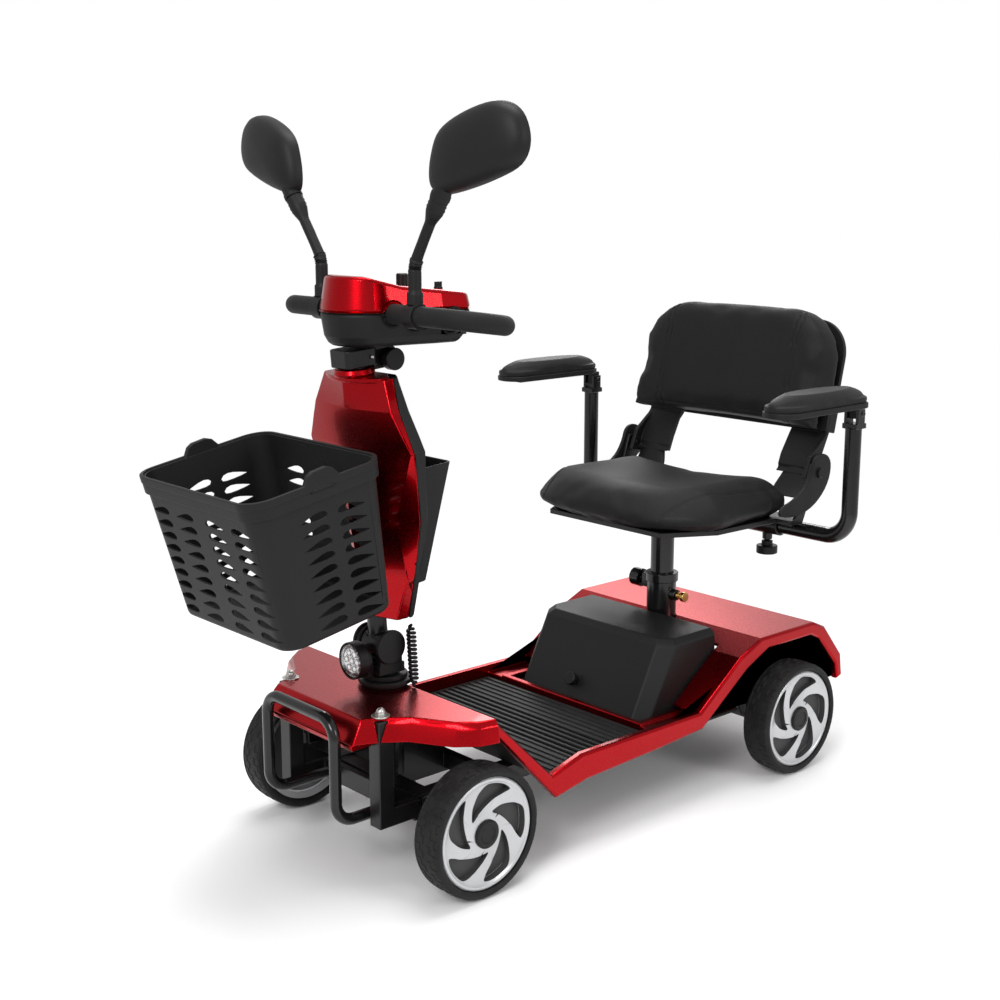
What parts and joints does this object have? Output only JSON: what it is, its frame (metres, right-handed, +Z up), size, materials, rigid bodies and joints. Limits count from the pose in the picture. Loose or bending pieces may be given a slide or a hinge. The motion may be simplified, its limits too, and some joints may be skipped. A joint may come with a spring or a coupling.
{
  "type": "mobility scooter",
  "caption": "Electric mobility scooter with a folding tiller, swivel seat, flip-up armrests, battery box, front basket and mirrors.",
  "frame": {"origin": "on the ground under the middle of the scooter's overall box", "axes": "+X to the rider's left, +Y towards the rear, +Z up; the front faces -Y"},
  "size_m": [0.63, 1.1078, 1.0154],
  "materials": {
    "red_paint": "metallic clear-coated candy red",
    "black_plastic": "fine-textured moulded black",
    "black_steel": "satin black powder coat",
    "gloss_black": "gloss black enamel on tube",
    "mat_rubber": "ribbed rubber",
    "zinc": "zinc plated",
    "brass": "turned brass",
    "cast_metal": "cast and painted motor and gearbox",
    "alloy": "finned aluminium case",
    "battery_plastic": "battery pack plastic",
    "wheel_silver": "silver-grey painted wheel",
    "tyre_rubber": "solid rubber tyre",
    "foam_grip": "foam rubber sleeve over steel tube",
    "lens": "clear lens",
    "cord_rubber": "coiled cord jacket",
    "mirror_glass": "silvered glass",
    "seat_vinyl": "soft black upholstery",
    "pad_skin": "self-skinned foam"
  },
  "bodies": {
    "chassis": {"main_frame": "black_steel", "front_cowl": "red_paint", "body_shell": "red_paint", "floor_tray": "black_plastic", "floor_mat": "mat_rubber", "bumper": "gloss_black", "cowl_bolts": "zinc", "seat_socket": "black_steel", "transaxle": "cast_metal", "controller": "alloy", "base_ring": "black_plastic"},
    "battery_box": {"battery_cover": "black_plastic", "batteries": "battery_plastic"},
    "battery_knob": {"cover_knob": "black_plastic"},
    "height_pin": {"seat_pin": "brass"},
    "tie_rod": {"tie_rod": "black_steel"},
    "stem": {"steering_stem": "black_steel", "headlight": "black_plastic", "headlight_lens": "lens", "coil_cord": "cord_rubber"},
    "tiller": {"tiller_tube": "black_steel", "shroud_front": "red_paint", "shroud_back": "black_plastic", "console_lower": "black_plastic", "console_upper": "red_paint", "handlebar": "foam_grip", "mirror_stem_left": "black_steel", "mirror_stem_right": "black_steel"},
    "tilt_knob": {"tiller_knob": "black_plastic"},
    "throttle": {"throttle_lever": "black_plastic"},
    "dial": {"speed_dial": "black_plastic"},
    "key": {"key": "zinc"},
    "horn": {"horn_button": "black_plastic"},
    "basket": {"basket": "black_plastic"},
    "bin": {"storage_bin": "black_plastic"},
    "post": {"seat_post": "black_steel"},
    "seat": {"seat_frame": "black_steel", "seat_cushion": "seat_vinyl"},
    "backrest": {"back_frame": "black_steel", "back_cushion": "seat_vinyl"},
    "knuckle_left": {"knuckle_left": "black_steel"},
    "mirror_left": {"mirror_shell_left": "black_plastic", "mirror_glass_left": "mirror_glass"},
    "arm_left": {"arm_tube_left": "black_steel"},
    "pad_left": {"arm_pad_left": "pad_skin"},
    "arm_knob_left": {"arm_knob_left": "black_plastic"},
    "knuckle_right": {"knuckle_right": "black_steel"},
    "mirror_right": {"mirror_shell_right": "black_plastic", "mirror_glass_right": "mirror_glass"},
    "arm_right": {"arm_tube_right": "black_steel"},
    "pad_right": {"arm_pad_right": "pad_skin"},
    "arm_knob_right": {"arm_knob_right": "black_plastic"},
    "wheel_front_left": {"wheel_front_left": "wheel_silver", "tyre_front_left": "tyre_rubber"},
    "wheel_front_right": {"wheel_front_right": "wheel_silver", "tyre_front_right": "tyre_rubber"},
    "wheel_rear_left": {"wheel_rear_left": "wheel_silver", "tyre_rear_left": "tyre_rubber"},
    "wheel_rear_right": {"wheel_rear_right": "wheel_silver", "tyre_rear_right": "tyre_rubber"}
  },
  "joints": [
    {"name": "steering", "type": "hinge", "parent": "chassis", "child": "stem", "pos_m": [0, -0.258, 0.239], "axis": [0, 0, 1], "range_deg": [-25, 25]},
    {"name": "tie_rod_pin", "type": "hinge", "parent": "stem", "child": "tie_rod", "pos_m": [0, -0.216, 0.06], "axis": [0, 0, 1], "range_deg": [-25, 25]},
    {"name": "kingpin_left", "type": "hinge", "parent": "chassis", "child": "knuckle_left", "pos_m": [0.186, -0.266, 0.09], "axis": [0, 0, 1], "range_deg": [-25, 25]},
    {"name": "kingpin_right", "type": "hinge", "parent": "chassis", "child": "knuckle_right", "pos_m": [-0.186, -0.266, 0.09], "axis": [0, 0, 1], "range_deg": [-25, 25]},
    {"name": "wheel_spin_front_left", "type": "hinge", "parent": "knuckle_left", "child": "wheel_front_left", "pos_m": [0.203, -0.266, 0.09], "axis": [1, 0, 0], "continuous": true},
    {"name": "wheel_spin_front_right", "type": "hinge", "parent": "knuckle_right", "child": "wheel_front_right", "pos_m": [-0.203, -0.266, 0.09], "axis": [1, 0, 0], "continuous": true},
    {"name": "wheel_spin_rear_left", "type": "hinge", "parent": "chassis", "child": "wheel_rear_left", "pos_m": [0.211, 0.389, 0.09], "axis": [1, 0, 0], "continuous": true},
    {"name": "wheel_spin_rear_right", "type": "hinge", "parent": "chassis", "child": "wheel_rear_right", "pos_m": [-0.211, 0.389, 0.09], "axis": [1, 0, 0], "continuous": true},
    {"name": "tiller_fold", "type": "hinge", "parent": "stem", "child": "tiller", "pos_m": [0, -0.268, 0.299], "axis": [1, 0, 0], "range_deg": [-35, 0]},
    {"name": "tilt_knob_turn", "type": "hinge", "parent": "tiller", "child": "tilt_knob", "pos_m": [0.024, -0.25435, 0.69369], "axis": [1, 0, 0], "range_deg": [0, 170]},
    {"name": "throttle_swing", "type": "hinge", "parent": "tiller", "child": "throttle", "pos_m": [0, -0.239, 0.743], "axis": [0, 0, 1], "range_deg": [-4.5, 4.5], "stiffness_Nm_per_rad": 0.8},
    {"name": "dial_turn", "type": "hinge", "parent": "tiller", "child": "dial", "pos_m": [0, -0.219, 0.794], "axis": [0, 0, 1], "range_deg": [0, 270]},
    {"name": "key_turn", "type": "hinge", "parent": "tiller", "child": "key", "pos_m": [0.026, -0.178, 0.784], "axis": [0, 0, 1], "range_deg": [0, 90]},
    {"name": "horn_press", "type": "slide", "parent": "tiller", "child": "horn", "axis": [0, 0, -1], "range_m": [0, 0.003], "stiffness_N_per_m": 400},
    {"name": "basket_lift", "type": "slide", "parent": "tiller", "child": "basket", "axis": [0, -0.134, 0.991], "range_m": [0, 0.1]},
    {"name": "bin_lift", "type": "slide", "parent": "tiller", "child": "bin", "axis": [0, -0.0872, 0.9962], "range_m": [0, 0.1]},
    {"name": "mirror_turn_left", "type": "hinge", "parent": "tiller", "child": "mirror_left", "pos_m": [0.156, -0.282, 0.902], "axis": [0.5661, -0.0412, 0.8233], "range_deg": [-20, 20]},
    {"name": "mirror_turn_right", "type": "hinge", "parent": "tiller", "child": "mirror_right", "pos_m": [-0.156, -0.282, 0.902], "axis": [-0.5661, -0.0412, 0.8233], "range_deg": [-20, 20]},
    {"name": "battery_lift", "type": "slide", "parent": "chassis", "child": "battery_box", "axis": [0, 0, 1], "range_m": [0, 0.12]},
    {"name": "battery_knob_turn", "type": "hinge", "parent": "battery_box", "child": "battery_knob", "pos_m": [-0.014, 0.1298, 0.151], "axis": [0, -0.8912, 0.4537], "range_deg": [0, 90]},
    {"name": "height_pin_pull", "type": "slide", "parent": "chassis", "child": "height_pin", "axis": [1, 0, 0], "range_m": [0, 0.008], "stiffness_N_per_m": 900},
    {"name": "seat_height", "type": "slide", "parent": "chassis", "child": "post", "axis": [0, 0, 1], "range_m": [0, 0.06]},
    {"name": "seat_swivel", "type": "hinge", "parent": "post", "child": "seat", "pos_m": [0, 0.314, 0.389], "axis": [0, 0, 1], "continuous": true},
    {"name": "backrest_fold", "type": "hinge", "parent": "seat", "child": "backrest", "pos_m": [0, 0.449, 0.476], "axis": [1, 0, 0], "range_deg": [0, 85]},
    {"name": "arm_width_left", "type": "slide", "parent": "seat", "child": "arm_left", "axis": [1, 0, 0], "range_m": [0, 0.05]},
    {"name": "arm_flip_left", "type": "hinge", "parent": "arm_left", "child": "pad_left", "pos_m": [0.279, 0.432, 0.581], "axis": [1, 0, 0], "range_deg": [-90, 0]},
    {"name": "arm_knob_turn_left", "type": "hinge", "parent": "seat", "child": "arm_knob_left", "pos_m": [0.124, 0.428, 0.349], "axis": [0, 0, 1], "range_deg": [0, 170]},
    {"name": "arm_width_right", "type": "slide", "parent": "seat", "child": "arm_right", "axis": [-1, 0, 0], "range_m": [0, 0.05]},
    {"name": "arm_flip_right", "type": "hinge", "parent": "arm_right", "child": "pad_right", "pos_m": [-0.279, 0.432, 0.581], "axis": [1, 0, 0], "range_deg": [-90, 0]},
    {"name": "arm_knob_turn_right", "type": "hinge", "parent": "seat", "child": "arm_knob_right", "pos_m": [-0.124, 0.428, 0.349], "axis": [0, 0, 1], "range_deg": [0, 170]}
  ],
  "couplings": [
    {"joint": "tie_rod_pin", "follows": "steering", "ratio": -1},
    {"joint": "kingpin_left", "follows": "steering", "ratio": 1},
    {"joint": "kingpin_right", "follows": "steering", "ratio": 1}
  ]
}
